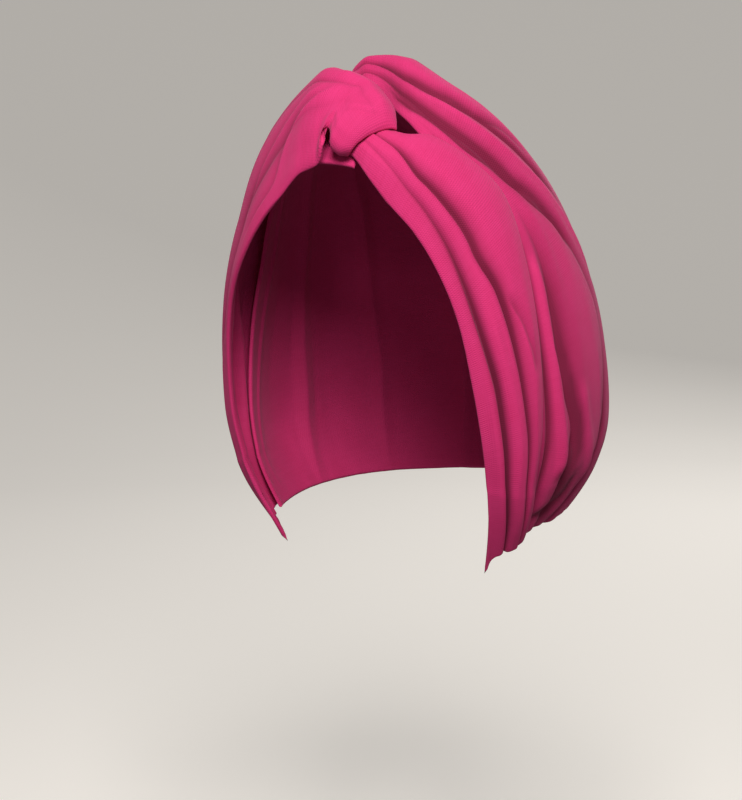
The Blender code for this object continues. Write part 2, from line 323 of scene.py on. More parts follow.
def wrinkles(across: Array, along: Array, seed: int) -> Array:
    """Smooth noise between -1 and 1 that gathers the cloth along a band.

    Args:
        across: place across the band, one unit for each wrinkle.
        along: place along the band, one unit for each change of the wrinkles.
        seed: fixes the pattern.

    Returns:
        The noise at each place.
    """
    size = GRID.wrinkle_grid
    chance = np.random.default_rng(seed).uniform(-1, 1, (size, size))
    column, row = np.floor(across).astype(int), np.floor(along).astype(int)
    x, y = across - column, along - row
    x, y = x * x * (3 - 2 * x), y * y * (3 - 2 * y)
    value = np.zeros_like(across)
    for i, weight_x in ((0, 1 - x), (1, x)):
        for j, weight_y in ((0, 1 - y), (1, y)):
            value += weight_x * weight_y * chance[(column + i) % size, (row + j) % size]
    return value


@dataclass
class Band:
    """One band of the wrap, a sheet of doubled jersey that runs from the knot to the hem."""

    name: str
    side: Side
    edges: tuple[Edge, ...]
    lofts: tuple[Loft, ...]
    stations: Numbers
    creases: tuple[Crease, ...]
    folds: tuple[Fold, ...]
    spacing: float
    point: float
    seam_from: float
    flat_size: tuple[float, float]
    rolls: tuple[Roll, ...] = PLAIN_ROLLS
    tip_roll: float = 0.0
    calm_front: float = 0.0
    rows: int = 250
    columns: int = 28
    gather_count: float = 8
    gather_rise: float = 0.35 * MM
    seed: int = 1

    def along_shares(self) -> Array:
        """Shares of the length, a row of the mesh for each, closer at both ends."""
        body = np.linspace(0, 1, self.rows)**self.spacing
        ends = np.array(GRID.end_shares)
        return np.unique(np.concatenate([body, ends, 1 - ends]))

    def across_shares(self, along: Array) -> Array:
        """Shares of the width, a row of shares for each share of the length."""
        guides = [np.zeros_like(along)]
        guides += [smooth_table(along, self.stations, crease.places) for crease in self.creases]
        guides.append(np.ones_like(along))
        places = np.linspace(0, 1, self.columns, endpoint=False)
        places = places - GRID.column_pull * np.sin(2 * math.pi * places)
        columns = [np.full_like(along, share) for share in GRID.edge_shares]
        for number, (first, second) in enumerate(zip(guides[:-1], guides[1:])):
            for place in places:
                share = first + place * (second - first)
                if number or place > 0:
                    columns.append(share)
        columns += [np.full_like(along, 1 - share) for share in GRID.edge_shares]
        return np.sort(np.clip(np.stack(columns, -1), 0, 1), axis=1)

    def edge_places(self, along: Array) -> list[tuple[Array, ...]]:
        """Fall, turn and map place of the front and the rear edge."""
        stations = [row.along for row in self.edges]
        ends = []
        for end in ("front", "rear"):
            places = np.array([flat(getattr(row, end + "_fall"), getattr(row, end + "_turn"))
                               for row in self.edges])
            x = smooth_table(along, stations, places[:, 0])
            y = smooth_table(along, stations, places[:, 1])
            ends.append((np.hypot(x, y), np.degrees(np.arctan2(x, y)), x, y))
        return ends

    def map_places(self, along: Array, across: Array) -> tuple[Array, Array]:
        """Fall and turn of every point of the band."""
        (front_fall, front_turn, front_x, front_y), (rear_fall, rear_turn, rear_x, rear_y) = \
            self.edge_places(along)
        side = self.side.value
        front_turn = np.where(front_turn * side < 0, front_turn + 360 * side, front_turn)
        rear_turn = rear_turn + 360 * np.round((front_turn - rear_turn) / 360)
        share = across + (across**self.point - across) * along[:, None]**CLOTH.hem_bend
        arc_fall = front_fall[:, None] + (rear_fall - front_fall)[:, None] * share
        arc_turn = front_turn[:, None] + (rear_turn - front_turn)[:, None] * across
        straight_x = front_x[:, None] + (rear_x - front_x)[:, None] * across
        straight_y = front_y[:, None] + (rear_y - front_y)[:, None] * across
        middle_fall = (front_fall + rear_fall) / 2
        arc = smooth_step(middle_fall, CLOTH.straight_fall, CLOTH.arc_fall)[:, None]
        arc_place = flat(arc_fall, arc_turn)
        x = straight_x + (arc_place[..., 0] - straight_x) * arc
        y = straight_y + (arc_place[..., 1] - straight_y) * arc
        return np.hypot(x, y), np.degrees(np.arctan2(x, y))

    def lofted(self, along: Array, across: Array) -> Array:
        """Height of the unfolded band over the hollow."""
        names = ("front", "front_mid", "middle", "rear_mid", "rear")
        spots = np.linspace(0, 1, len(names))
        lofts = [read_column(along, self.lofts, name) for name in names]
        height = np.empty_like(across)
        for row in range(len(along)):
            height[row] = smooth_table(across[row], spots, [loft[row] for loft in lofts])
        return height

    def creased(self, along: Array, across: Array) -> Array:
        """Depth of all creases, as shares of the pleat's rise."""
        depth = np.zeros_like(across)
        for crease in self.creases:
            place = smooth_table(along, self.stations, crease.places)[:, None]
            deep = smooth_table(along, self.stations, crease.depths)[:, None]
            reach = np.where(across < place, crease.front_reach, crease.rear_reach)
            away = np.abs(across - place) / reach
            sharp = CLOTH.valley_share
            depth += deep * ((1 - sharp) * np.clip(1 - away, 0, 1)**2
                             + sharp * np.clip(1 - away / CLOTH.valley_width, 0, 1)**1.5)
        return depth

    def layers(self, along: Array, across: Array) -> Array:
        """Layers of cloth that lie under each point."""
        front = read_column(along, self.lofts, "under_front")[:, None]
        rear = read_column(along, self.lofts, "under_rear")[:, None]
        return front + (rear - front) * smooth_step(across, 0, CLOTH.layer_ramp)

    def folded(self, fall: Array, turn: Array) -> Array:
        """Rise of the cloth at the short folds."""
        rise = np.zeros_like(fall)
        ground = HOLLOW.surface(fall, turn)
        for fold in self.folds:
            line = np.array(fold.line, float)
            places = flat(line[:, 0], line[:, 1])
            stations = running_length(places, 0)
            reads = np.linspace(0, stations[-1], GRID.fold_steps)
            x = smooth_table(reads, stations, places[:, 0])
            y = smooth_table(reads, stations, places[:, 1])
            path = HOLLOW.surface(np.hypot(x, y), np.degrees(np.arctan2(x, y)))
            tangent = np.gradient(path, axis=0)
            outward = path - HOLLOW.middle
            reach = max(fold.front_reach, fold.rear_reach) * MM
            low, high = path.min(0) - reach, path.max(0) + reach
            close = ((ground > low) & (ground < high)).all(-1)
            if not close.any():
                continue
            spots = ground[close]
            gaps = np.linalg.norm(spots[:, None] - path[None], axis=-1)
            nearest = gaps.argmin(1)
            offset = spots - path[nearest]
            ahead = np.sum(offset * unit(tangent[nearest]), -1)
            inside = (nearest > 0) & (nearest < len(path) - 1)
            distance = np.sqrt(np.maximum(gaps.min(1)**2 - np.where(inside, ahead**2, 0), 0))
            cross = np.cross(tangent[nearest], offset)
            rearward = np.sum(cross * outward[nearest], -1) * self.side.value > 0
            share = nearest / (len(path) - 1)
            strength = smooth_step(share, 0, fold.fade) * smooth_step(1 - share, 0, fold.fade)
            span = np.where(rearward, fold.rear_reach, fold.front_reach) * MM
            signed = np.where(rearward, distance, -distance)
            turn_over = smooth_step(signed, -CLOTH.fold_edge, CLOTH.fold_edge)
            lift = (fold.front + (fold.rear - fold.front) * turn_over) * MM
            away = np.clip(distance / span, 0, 1)
            ridge = fold.front > 0 and fold.rear > 0
            rise[close] += strength * lift * ((1 - away**2)**2 if ridge else (1 - away)**2)
        return rise

    def middle_face(self) -> tuple[Array, Array, Array, Array]:
        """Middle of the cloth's wall.

        Returns:
            Grids of points, of unit normals, of how deep each point lies in a fold from
            0 to 1, which the jersey paints as shade, and the falls of the points.
        """
        along = self.along_shares()
        across = self.across_shares(along)
        fall, turn = self.map_places(along, across)
        loft = self.lofted(along, across)
        creases = self.creased(along, across)
        height = CLOTH.pleat_rise * np.maximum(loft - creases, 0)
        folds = self.folded(fall, turn)
        gathers = sum(layer.share * wrinkles(across * self.gather_count * layer.density,
                                             along[:, None] * layer.changes + 0 * across,
                                             self.seed + layer.seed_step) for layer in GATHERS)
        calm = (smooth_step(across, self.calm_front, self.calm_front + CLOTH.calm_reach)
                * smooth_step(1 - across, 0, CLOTH.calm_reach)
                * smooth_step(along, 0, CLOTH.calm_reach)[:, None])
        height += folds + self.gather_rise * gathers * calm
        layers = self.layers(along, across) * (CLOTH.wall + CLOTH.layer_gap)
        radius = CLOTH.seat_gap + CLOTH.wall + layers + np.maximum(height, 0)
        ray = HOLLOW.direction(fall, turn)
        outer = HOLLOW.middle + (HOLLOW.radius(ray) + radius)[..., None] * ray
        normal = smooth_normals(outer, outer - HOLLOW.middle)
        # Painted shade: the creases' depth less the folds' rise, from 0 to 1, darkens the jersey's
        # colour
        painted_shade = np.clip((CLOTH.pleat_rise * creases - folds) / CLOTH.full_shade, 0, 1)
        middle, share = self.rolled(along, outer - CLOTH.wall / 2 * normal, normal)
        turned = unit(normal + share[..., None] * (smooth_normals(middle, normal) - normal))
        return middle, turned, painted_shade, fall

    def rolled(self, along: Array, middle: Array,
               normal: Array) -> tuple[Array, Array]:
        """Curl the free edges in, like an edge of jersey, but never into the hollow.

        Args:
            along: shares of the length, one for each row.
            middle: middle of the cloth's wall.
            normal: unit normals of the wall.

        Returns:
            The curled middle, and how far each point has curled, from 0 to 1.
        """
        run = running_length(middle, 1)
        free_rear = along < self.seam_from
        drop = curl(run, read_column(along, self.rolls, "front")[:, None])
        drop += curl(run[:, -1:] - run, (read_column(along, self.rolls, "rear") * free_rear)[:, None])
        drop += curl(running_length(middle, 0), self.tip_roll)
        curled = middle - drop[..., None] * normal
        ray = curled - HOLLOW.middle
        far = np.linalg.norm(ray, axis=-1)
        ray /= far[..., None]
        floor = HOLLOW.radius(ray) + CLOTH.wall / 2 + CLOTH.rest_gap
        share = np.clip(drop / CLOTH.roll_onset, 0, 1)
        return HOLLOW.middle + np.maximum(far, floor)[..., None] * ray, share

    def build(self) -> Object:
        """Mesh of the band, a closed sheet with round edges."""
        middle, normal, painted_shade, _ = self.middle_face()
        across_run, along_run = running_length(middle, 1), running_length(middle, 0)
        border = np.minimum(np.minimum(across_run, across_run[:, -1:] - across_run),
                            np.minimum(along_run, along_run[-1:] - along_run))
        half = CLOTH.wall / 2
        round_off = np.sqrt(np.clip(1 - (1 - np.clip(border / half, 0, 1))**2, 0, 1))
        skins = [middle + sign * half * round_off[..., None] * normal for sign in (1, -1)]
        limit = CLOTH.seam_gap / 2
        sewn = self.along_shares() >= self.seam_from
        for points in skins:
            side = self.side.value
            points[sewn, :, 0] = np.maximum(points[sewn, :, 0] * side, limit) * side
        rows, columns = middle.shape[:2]
        top = np.arange(rows * columns).reshape(rows, columns)
        low = top + rows * columns
        low[0], low[-1], low[:, 0], low[:, -1] = top[0], top[-1], top[:, 0], top[:, -1]
        faces = []
        for grid, turned in ((top, False), (low, True)):
            quads = np.stack([grid[:-1, :-1], grid[1:, :-1], grid[1:, 1:], grid[:-1, 1:]], -1)
            quads = quads.reshape(-1, 4)
            faces.append(quads[:, ::-1] if turned else quads)
        faces = np.concatenate(faces)
        points = np.concatenate([skin.reshape(-1, 3) for skin in skins])
        first = faces[columns * (rows // 2)]
        facing = np.cross(points[first[1]] - points[first[0]], points[first[2]] - points[first[0]])
        if facing @ (points[first[0]] - HOLLOW.middle) < 0:
            faces = faces[:, ::-1]
        run = np.stack([across_run - across_run[:, columns // 2][:, None],
                        np.broadcast_to(along_run[:, columns // 2][:, None], across_run.shape)], -1)
        runs = np.concatenate([run.reshape(-1, 2)] * 2)
        # Painted shade: the outer skin keeps its fold shade, and the inner skin gets a fixed painted
        # shade inside the wrap
        depth = np.concatenate([painted_shade.reshape(-1), np.full(painted_shade.size, CLOTH.inner_shade)])
        return sheet_object(self.name + "_cloth", points, faces, runs, depth)


def linked(name: str, data: ID) -> Object:
    """New object in the scene."""
    made = bpy.data.objects.new(name, data)
    bpy.context.scene.collection.objects.link(made)
    return made


def sheet_object(name: str, points: Array, faces: Array, runs: Array,
                 depth: Array) -> Object:
    """Object from arrays, with the cloth's own measure as its UV map.

    Args:
        name: the object's name.
        points: places of the vertices; those that no face uses are left out.
        faces: four vertex numbers for each face.
        runs: metres across and along the cloth at each vertex.
        depth: painted shade of each vertex, from 0 to 1, from how deep it lies in a fold or fixed
            inside the wrap.

    Returns:
        The linked object.
    """
    used = np.unique(faces)
    number = np.full(len(points), -1)
    number[used] = np.arange(len(used))
    faces = number[faces]
    mesh = bpy.data.meshes.new(name)
    mesh.from_pydata(points[used].tolist(), [], faces.tolist())
    layer = mesh.uv_layers.new(name="cloth_run")
    corners = np.empty(len(mesh.loops), np.int32)
    mesh.loops.foreach_get("vertex_index", corners)
    layer.data.foreach_set("uv", runs[used][corners].astype(np.float32).ravel())
    # Painted shade, kept on each vertex for the jersey's colour
    painted_shade = mesh.attributes.new("painted_shade", "FLOAT", "POINT")
    painted_shade.data.foreach_set("value", depth[used].astype(np.float32))
    mesh.shade_smooth()
    mesh.validate()
    return linked(name, mesh)


LEFT_FRONT = Band(
    name="left_front_band",
    side=Side.LEFT,
    edges=(
        Edge(0.00, 18.5, 176, 9.5, 170),
        Edge(0.06, 21.0, 161, 14.2, 151),
        Edge(0.12, 26.0, 150, 17.8, 130),
        Edge(0.18, 30.5, 142, 19.6, 115),
        Edge(0.25, 36.0, 134, 24.0, 101),
        Edge(0.33, 44.0, 128, 33.0, 90),
        Edge(0.42, 55.0, 124, 46.0, 93.5),
        Edge(0.55, 72.0, 122, 66.0, 97.5),
        Edge(0.70, 93.0, 120, 87.0, 100.5),
        Edge(0.85, 115.0, 117.5, 108.0, 102.5),
        Edge(1.00, 136.0, 114.5, 125.0, 100),
    ),
    lofts=(
        Loft(0.00, 0.05, 0.15, 0.20, 0.15, 0.00, 1, 1),
        Loft(0.08, 0.05, 0.30, 0.40, 0.30, 0.05, 1, 1),
        Loft(0.18, 0.05, 0.50, 0.65, 0.60, 0.40, 0, 1),
        Loft(0.35, 0.05, 0.45, 0.60, 0.60, 0.35, 0, 1),
        Loft(0.60, 0.05, 0.40, 0.50, 0.60, 0.35, 0, 1),
        Loft(0.85, 0.05, 0.35, 0.45, 0.45, 0.20, 0, 1),
        Loft(1.00, 0.05, 0.20, 0.25, 0.20, 0.05, 0, 1),
    ),
    stations=(0.0, 0.12, 0.20, 0.34, 0.42, 0.60, 0.80, 1.0),
    creases=(
        Crease("first", (0.42, 0.30, 0.205, 0.15, 0.165, 0.275, 0.305, 0.33),
               (0.00, 0.05, 0.12, 0.22, 0.30, 0.40, 0.40, 0.15), 0.14, 0.13),
        Crease("second", (0.66, 0.55, 0.37, 0.33, 0.44, 0.585, 0.66, 0.66),
               (0.00, 0.16, 0.30, 0.38, 0.42, 0.34, 0.28, 0.05), 0.10, 0.18),
    ),
    folds=(
        Fold("second crest", ((49.7, 116.3), (56.8, 114.8), (64.3, 113.8), (72.6, 112.6),
            (83.7, 111.4), (92.6, 111), (98.6, 111), (104.6, 111), (110.9, 112.3)), 0.9, 0.9, 3, 3),
        Fold("pocket", ((52, 108.5), (56, 106.8), (60, 105), (66, 103.6), (74, 103.5)),
            0.4, -1.2, 3, 6),
    ),
    spacing=1.25, point=0.3, seam_from=2.0, flat_size=(0.045, 0.21), gather_count=5,
    gather_rise=0.3 * MM, seed=3, columns=30)

LEFT_REAR = Band(
    name="left_rear_band",
    side=Side.LEFT,
    edges=(
        Edge(0.00, 13.6, -135, 12.4, -104),
        Edge(0.05, 6.0, -140, 9.8, -63),
        Edge(0.09, 5.5, 147, 10.3, -29),
        Edge(0.13, 12.2, 124, 12.0, -5),
        Edge(0.19, 19.7, 114, 18.0, 0),
        Edge(0.27, 30.0, 100, 28.0, 0),
        Edge(0.37, 42.0, 98, 40.0, 0),
        Edge(0.52, 63.0, 101, 60.0, 0),
        Edge(0.72, 92.0, 104.5, 88.0, 0),
        Edge(0.86, 111.0, 107, 106.0, 0),
        Edge(1.00, 127.0, 107, 122.0, 0),
    ),
    lofts=(
        Loft(0.00, 0.00, 0.05, 0.10, 0.05, 0.00, 1, 1),
        Loft(0.05, 0.00, 0.40, 0.70, 0.70, 0.30, 1, 1),
        Loft(0.065, 0.03, 0.70, 1.20, 1.15, 0.45, 0.5, 1),
        Loft(0.08, 0.10, 1.15, 1.48, 1.40, 0.55, 0, 1),
        Loft(0.13, 0.20, 1.10, 1.50, 1.45, 0.65, 0, 1),
        Loft(0.20, 0.10, 0.95, 1.35, 1.35, 0.55, 0, 0),
        Loft(0.28, 0.02, 0.90, 1.25, 1.25, 0.40, 0, 0),
        Loft(0.40, 0.02, 0.95, 1.22, 1.15, 0.35, 0, 0),
        Loft(0.52, 0.02, 0.92, 1.15, 1.05, 0.35, 0, 0),
        Loft(0.65, 0.02, 0.90, 0.98, 0.95, 0.35, 0, 0),
        Loft(0.78, 0.02, 0.85, 0.90, 0.85, 0.35, 0, 0),
        Loft(0.88, 0.02, 0.60, 0.65, 0.60, 0.30, 0, 0),
        Loft(1.00, 0.02, 0.20, 0.25, 0.25, 0.15, 0, 0),
    ),
    stations=(0.0, 0.13, 0.27, 0.40, 0.60, 0.75, 0.87, 1.0),
    creases=(
        Crease("under_front", (0.16, 0.05, 0.08, 0.08, 0.085, 0.09, 0.08, 0.08),
               (0.00, 0.00, 0.15, 0.25, 0.30, 0.30, 0.15, 0.00), 0.05, 0.05),
        Crease("flap", (0.32, 0.10, 0.13, 0.145, 0.15, 0.19, 0.175, 0.14),
               (0.00, 0.00, 0.00, 0.15, 0.35, 0.50, 0.35, 0.10), 0.07, 0.16),
        Crease("crescent", (0.48, 0.15, 0.20, 0.34, 0.46, 0.42, 0.34, 0.20),
               (0.00, 0.20, 0.38, 0.20, 0.10, 0.35, 0.30, 0.10), 0.10, 0.10),
        Crease("crown_first", (0.64, 0.27, 0.40, 0.51, 0.59, 0.66, 0.70, 0.72),
               (0.00, 0.28, 0.36, 0.30, 0.25, 0.25, 0.20, 0.05), 0.12, 0.10),
        Crease("crown_second", (0.82, 0.58, 0.64, 0.76, 0.81, 0.83, 0.85, 0.86),
               (0.00, 0.35, 0.40, 0.35, 0.30, 0.25, 0.20, 0.05), 0.14, 0.12),
    ),
    folds=(
        Fold("narrow pleat", ((43, 88.3), (50, 89), (57, 90.5), (67, 91.4), (80, 91.3), (90, 91),
            (100, 90.5), (108, 92)), 1.7, 1.7, 4, 4, 0.1),
        Fold("flap edge", ((46.2, 85.3), (53.1, 86.8), (63.5, 88.9), (68.5, 89.8), (74.3, 89.4),
            (80.1, 88.1), (85.4, 87), (90, 86.5), (94.4, 85.2), (100.1, 84), (104.6, 84.5), (109, 86)),
            0.9, -1.2, 5, 5, 0.15),
        Fold("knot groove", ((3.2, 142.4), (6.7, 124.8), (9.5, 120.5), (11.8, 115.7), (13.9, 109.9),
            (16.6, 103.6), (21.1, 96.6), (25.7, 86.9), (30.3, 80.5), (32.5, 75.4), (36.4, 70.4),
            (42, 67), (50, 65)), -2.0, -2.0, 3.5, 5, 0.15),
        Fold("pressed line", ((6.3, 115.5), (9.8, 110), (14.1, 94), (19.4, 83.2), (25.7, 73),
            (33.6, 63.7), (39, 60), (50, 55), (62, 52)), 0.7, 0.7, 2, 2),
        Fold("crown groove", ((4, 104.7), (7.3, 103.4), (9.7, 97), (11.8, 90.4), (13.8, 81),
            (15.7, 77.4), (18.6, 74.9), (21, 66), (25, 58), (32, 54)), -1.3, -1.3, 3, 4),
        Fold("soft valley", ((66, 85.5), (75.4, 84.4), (84.5, 82.3), (94.8, 80.3), (100.7, 80.6),
            (106.4, 82)), -0.8, -0.8, 4, 4),
        Fold("soft ridge", ((78, 79.5), (85.7, 79.4), (94.7, 77.9), (101.7, 75.7), (108, 74),
            (113, 72)), 1.0, 1.0, 5, 5),
        Fold("crescent edge", ((72, 66), (80, 66.5), (88, 67), (97, 67.5), (104, 70), (110, 72)), 0.7,
            -0.9, 6, 5),
        Fold("hem trough", ((103, 81.5), (109, 81.5), (113, 82.5), (116.5, 85), (119, 90), (120, 96),
            (119, 101)), -1.8, -1.8, 6, 6, 0.2),
    ),
    spacing=1.3, point=1.0, seam_from=0.16, flat_size=(0.125, 0.27), gather_count=17,
    gather_rise=0.4 * MM, calm_front=0.1, seed=5, rows=260, columns=25)

RIGHT_OVER = Band(
    name="right_over_band",
    side=Side.RIGHT,
    edges=(
        Edge(0.00, 23.2, 160.5, 17.3, 134),
        Edge(0.03, 23.2, 164.5, 12.9, 130.5),
        Edge(0.05, 22.6, 168.0, 10.4, 133),
        Edge(0.065, 19.6, 171.0, 8.9, 136.5),
        Edge(0.08, 21.6, 174.0, 7.5, 143),
        Edge(0.12, 23.6, 178, 5.6, 174),
        Edge(0.16, 24.7, -174, 5.3, -127),
        Edge(0.20, 26.5, -167, 8.8, -86),
        Edge(0.24, 30.0, -159, 14.6, -74),
        Edge(0.33, 41.0, -143, 31.0, -85),
        Edge(0.44, 55.0, -130, 48.0, -90),
        Edge(0.58, 74.0, -123, 69.0, -94),
        Edge(0.72, 95.0, -120, 90.0, -98),
        Edge(0.86, 116.0, -117.5, 109.0, -101.5),
        Edge(1.00, 136.0, -114.5, 125.0, -100),
    ),
    lofts=(
        Loft(0.00, 0.15, 0.50, 0.66, 0.56, 0.46, 2, 1),
        Loft(0.03, 0.25, 0.75, 1.00, 1.00, 0.32, 2, 1),
        Loft(0.07, 0.60, 0.95, 1.22, 1.25, 0.50, 2, 1),
        Loft(0.12, 0.10, 0.95, 1.42, 1.52, 0.80, 1, 1),
        Loft(0.16, 0.05, 0.72, 1.12, 1.22, 0.75, 1, 2),
        Loft(0.24, 0.05, 0.40, 0.70, 0.72, 0.48, 0, 2),
        Loft(0.33, 0.05, 0.20, 0.55, 0.75, 0.50, 0, 1),
        Loft(0.44, 0.05, 0.25, 0.55, 0.60, 0.32, 0, 1),
        Loft(0.60, 0.05, 0.40, 0.50, 0.50, 0.18, 0, 1),
        Loft(0.85, 0.05, 0.35, 0.45, 0.40, 0.12, 0, 1),
        Loft(1.00, 0.05, 0.20, 0.25, 0.20, 0.05, 0, 1),
    ),
    stations=(0.0, 0.12, 0.25, 0.42, 0.60, 0.80, 1.0),
    creases=(
        Crease("first", (0.30, 0.36, 0.22, 0.20, 0.26, 0.38, 0.36),
               (0.00, 0.03, 0.16, 0.22, 0.28, 0.38, 0.15), 0.12, 0.18),
        Crease("second", (0.62, 0.62, 0.48, 0.53, 0.72, 0.82, 0.86),
               (0.00, 0.08, 0.22, 0.30, 0.45, 0.35, 0.05), 0.14, 0.14),
    ),
    folds=(
        Fold("long crease", ((40, -140), (32, -149), (26.8, -157), (22.5, -158), (19.1, -160),
            (17.2, -166.3), (16, -173.6), (14.8, 179.4), (13.9, 172.7), (12.6, 165.7)),
            -1.3, 0.9, 6, 5, 0.3),
        Fold("high crease", ((42, -130), (31.3, -136), (23.2, -142), (17.9, -153), (15.5, -163),
            (13.9, -173), (11.5, 178.5)), -1.1, 0.8, 5, 4, 0.25),
        Fold("lip wrinkle", ((17.9, 168), (17.6, 158.4), (17.5, 151.9), (17.3, 145.7), (17.1, 139.7)),
            -0.25, 0.2, 3, 3, 0.3),
        Fold("low wrinkle", ((16.4, 166), (16.2, 158), (16.1, 150), (16.2, 142)),
            -0.2, 0.15, 3, 3, 0.3),
    ),
    spacing=1.4, point=0.3, seam_from=2.0, flat_size=(0.056, 0.245), gather_count=6,
    gather_rise=0.35 * MM, seed=11, rows=290, columns=32, tip_roll=1.6,
    rolls=(Roll(0.00, 3.6, 1.2), Roll(0.05, 3.6, 1.6), Roll(0.07, 1.2, 1.8), Roll(0.14, 1.2, 1.4),
           Roll(0.30, 0.8, 0.8), Roll(1.00, 0.8, 0.8)))

RIGHT_UNDER = Band(
    name="right_under_band",
    side=Side.RIGHT,
    edges=(
        Edge(0.00, 22.5, 159, 14.8, 152),
        Edge(0.06, 21.5, 177, 10.0, 180),
        Edge(0.12, 20.9, -163, 4.0, -150),
        Edge(0.19, 22.0, -129, 7.0, 0),
        Edge(0.27, 30.0, -103, 20.0, 0),
        Edge(0.37, 42.0, -99, 38.0, 0),
        Edge(0.52, 63.0, -101, 60.0, 0),
        Edge(0.72, 92.0, -104.5, 88.0, 0),
        Edge(0.86, 111.0, -107, 106.0, 0),
        Edge(1.00, 127.0, -107, 122.0, 0),
    ),
    lofts=(
        Loft(0.00, 0.00, 0.00, 0.00, 0.00, 0.00, 0, 0),
        Loft(0.12, 0.00, 0.00, 0.00, 0.00, 0.00, 0, 0),
        Loft(0.22, 0.00, 0.00, 0.05, 0.05, 0.00, 0, 0),
        Loft(0.30, 0.02, 0.70, 1.00, 0.95, 0.35, 0, 0),
        Loft(0.40, 0.02, 0.90, 1.15, 1.05, 0.35, 0, 0),
        Loft(0.60, 0.02, 0.90, 1.00, 0.95, 0.35, 0, 0),
        Loft(0.78, 0.02, 0.85, 0.85, 0.85, 0.35, 0, 0),
        Loft(0.88, 0.02, 0.60, 0.60, 0.60, 0.30, 0, 0),
        Loft(1.00, 0.02, 0.20, 0.25, 0.25, 0.15, 0, 0),
    ),
    stations=(0.0, 0.13, 0.27, 0.40, 0.60, 0.75, 0.87, 1.0),
    creases=(
        Crease("under_front", (0.06, 0.06, 0.09, 0.11, 0.09, 0.07, 0.06, 0.08),
               (0.00, 0.00, 0.10, 0.15, 0.12, 0.10, 0.05, 0.00), 0.04, 0.10),
        Crease("first", (0.25, 0.25, 0.28, 0.30, 0.32, 0.33, 0.32, 0.30),
               (0.00, 0.00, 0.20, 0.30, 0.40, 0.40, 0.25, 0.05), 0.12, 0.12),
        Crease("second", (0.50, 0.50, 0.50, 0.54, 0.58, 0.60, 0.60, 0.60),
               (0.00, 0.00, 0.20, 0.35, 0.35, 0.35, 0.25, 0.05), 0.12, 0.12),
        Crease("third", (0.76, 0.76, 0.74, 0.78, 0.82, 0.84, 0.84, 0.84),
               (0.00, 0.00, 0.20, 0.30, 0.30, 0.30, 0.20, 0.05), 0.12, 0.10),
    ),
    folds=(),
    spacing=1.2, point=1.0, seam_from=0.25, flat_size=(0.12, 0.263), gather_count=17,
    gather_rise=0.4 * MM, calm_front=0.1, seed=23, rows=240, columns=27)


class Number:
    """A number on a socket, which Python's operators work on by adding Math nodes."""

    def __init__(self, maker: NodeMaker, socket: NodeSocket) -> None:
        """Hold a socket of a node tree."""
        self.maker = maker
        self.socket = socket

    def _math(self, operation: str, first: Number | float, second: Number | float) -> Number:
        """Math node with one operation on two values."""
        return self.maker.number("ShaderNodeMath", {"operation": operation}, {0: first, 1: second})

    def __add__(self, other: Number | float) -> Number:
        """Sum."""
        return self._math("ADD", self, other)

    def __sub__(self, other: Number | float) -> Number:
        """Difference."""
        return self._math("SUBTRACT", self, other)

    def __mul__(self, other: Number | float) -> Number:
        """Product."""
        return self._math("MULTIPLY", self, other)

    def fold_back(self, size: float) -> Number:
        """Run up to size and back again."""
        return self._math("PINGPONG", self, size)

    def sine(self) -> Number:
        """Sine of an angle in radians."""
        return self.maker.number("ShaderNodeMath", {"operation": "SINE"}, {0: self})


class NodeMaker:
    """Adds nodes to one tree."""

    def __init__(self, tree: NodeTree) -> None:
        """Hold the tree."""
        self.tree = tree

    def node(self, kind: str, settings: dict | None = None, inputs: dict | None = None) -> Node:
        """Add a node.

        Args:
            kind: the node's type.
            settings: its own settings, set before its sockets.
            inputs: a value, a Number or a socket for each input, by name or number.

        Returns:
            The node.
        """
        made = self.tree.nodes.new(kind)
        for name, value in (settings or {}).items():
            setattr(made, name, value)
        self.fill(made, inputs or {})
        return made

    def fill(self, node: Node, inputs: dict) -> None:
        """Give a node a value, a Number or a socket for each input, by name or number."""
        for name, value in inputs.items():
            if isinstance(value, Number):
                value = value.socket
            if isinstance(value, NodeSocket):
                self.tree.links.new(value, node.inputs[name])
            else:
                node.inputs[name].default_value = value

    def number(self, kind: str, settings: dict | None = None, inputs: dict | None = None,
               output: str | int = 0) -> Number:
        """Add a node and return one of its outputs as a Number."""
        return Number(self, self.node(kind, settings, inputs).outputs[output])

    def noise(self, vector: NodeSocket, scale: float, detail: float = 2.0,
              roughness: float = 0.5) -> Number:
        """Noise texture at a place."""
        return self.number("ShaderNodeTexNoise", {}, {"Vector": vector, "Scale": scale,
                                                      "Detail": detail, "Roughness": roughness})

    def colour(self, factor: Number, first: NodeSocket | Colour,
               second: NodeSocket | Colour) -> NodeSocket:
        """Mix two colours."""
        mix = self.node("ShaderNodeMix", {"data_type": "RGBA"}, {0: factor, 6: first, 7: second})
        return mix.outputs[2]


def new_material(name: str) -> tuple[Material, Node, NodeMaker]:
    """New material, its shader and a maker of nodes for its tree."""
    material = bpy.data.materials.new(name)
    material.use_nodes = True
    tree = material.node_tree
    return material, tree.nodes["Principled BSDF"], NodeMaker(tree)


